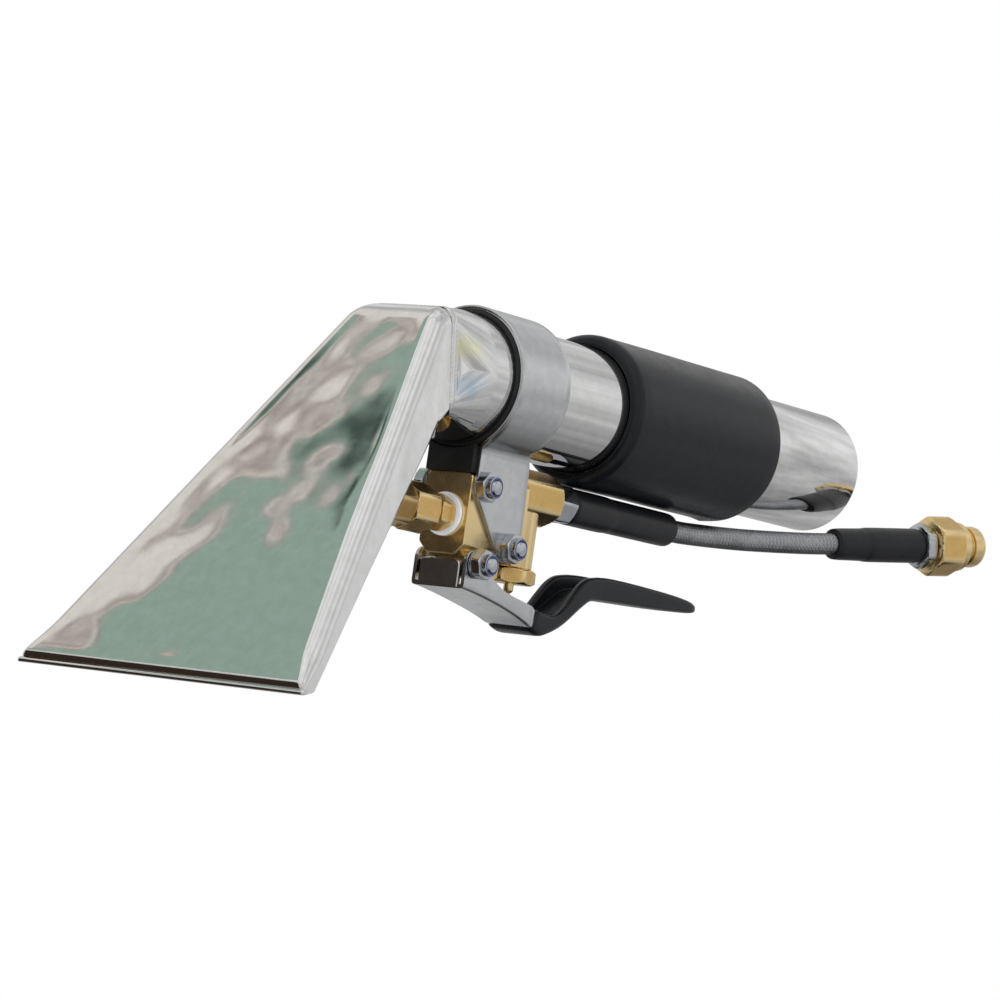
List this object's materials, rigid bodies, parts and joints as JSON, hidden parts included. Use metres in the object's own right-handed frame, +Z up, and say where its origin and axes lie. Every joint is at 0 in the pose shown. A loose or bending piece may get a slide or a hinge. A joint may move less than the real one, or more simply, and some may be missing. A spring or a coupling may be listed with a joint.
{
  "type": "upholstery cleaning hand wand",
  "caption": "Stainless vacuum hand wand for hot-water extraction, with a slanted flat head, dipped grip, under-slung brass trigger valve and a short braided solution hose.",
  "frame": {"origin": "centre of the bottom of the rigid wand's box: the table plane under the middle of its length, as it lies on its rear lip and trigger belly", "axes": "+Z up from the table, +X from the head towards the rear end of the vacuum tube, +Y to the side away from the lock nuts"},
  "size_m": [0.3719, 0.1016, 0.0988],
  "materials": {
    "mirror_steel": "mirror-polished stainless steel",
    "satin_steel": "lightly brushed stainless steel",
    "zinc_steel": "bright zinc plate, faintly blue",
    "brass": "machined brass, satin",
    "aged_brass": "darker extruded brass",
    "black_vinyl": "glossy dipped vinyl",
    "black_sleeve": "satin heat-shrunk sleeve",
    "black_rubber": "matt rubber",
    "white_ptfe": "matt white fluoropolymer",
    "blue_nylon": "translucent nylon insert",
    "braid": "woven stainless wire"
  },
  "bodies": {
    "frame": {"head_front_pan": "mirror_steel", "head_back_plate": "mirror_steel", "neck_transition": "mirror_steel", "neck_weld_bead": "mirror_steel", "vacuum_tube": "mirror_steel", "grip_sleeve": "black_vinyl", "clamp_band": "satin_steel", "clamp_liner": "black_rubber", "saddle_pad": "black_rubber", "clamp_bolts": "zinc_steel", "trigger_pivot_bolt": "zinc_steel", "lock_nuts": "zinc_steel", "lock_nut_rings": "blue_nylon", "bolt_washers": "zinc_steel", "valve_body": "brass", "valve_top_plug": "brass", "valve_seat": "white_ptfe", "valve_spring": "zinc_steel", "plunger_seal": "black_rubber", "valve_gland_nut": "brass", "jet_connector": "brass", "jet_washer": "white_ptfe", "jet_lock_nut": "brass", "jet_body": "aged_brass", "jet_grommet": "black_rubber", "jet_inner_nut": "brass", "spray_nozzle": "brass", "nozzle_strainer": "zinc_steel", "inlet_fitting": "zinc_steel", "front_ferrule": "zinc_steel", "front_sleeve": "black_sleeve", "hose_liner": "white_ptfe", "hose_braid": "braid", "rear_ferrule": "zinc_steel", "rear_sleeve": "black_sleeve", "coupling_nut": "brass", "quick_plug": "brass", "plug_seal": "black_rubber"},
    "trigger": {"trigger_lever": "satin_steel", "trigger_dip": "black_vinyl"},
    "plunger": {"valve_plunger": "brass", "valve_poppet": "zinc_steel"}
  },
  "joints": [
    {"name": "trigger_pivot", "type": "hinge", "parent": "frame", "child": "trigger", "pos_m": [-0.03178, 0, 0.02355], "axis": [0, -1, 0], "range_deg": [0, 6], "stiffness_Nm_per_rad": 4, "springref_deg": -8.59},
    {"name": "plunger_slide", "type": "slide", "parent": "frame", "child": "plunger", "axis": [0.1852, 0, 0.9827], "range_m": [0, 0.0034], "deforming": ["valve_spring"]}
  ],
  "couplings": [
    {"joint": "plunger_slide", "follows": "trigger_pivot", "m_per_rad": 0.0322}
  ]
}
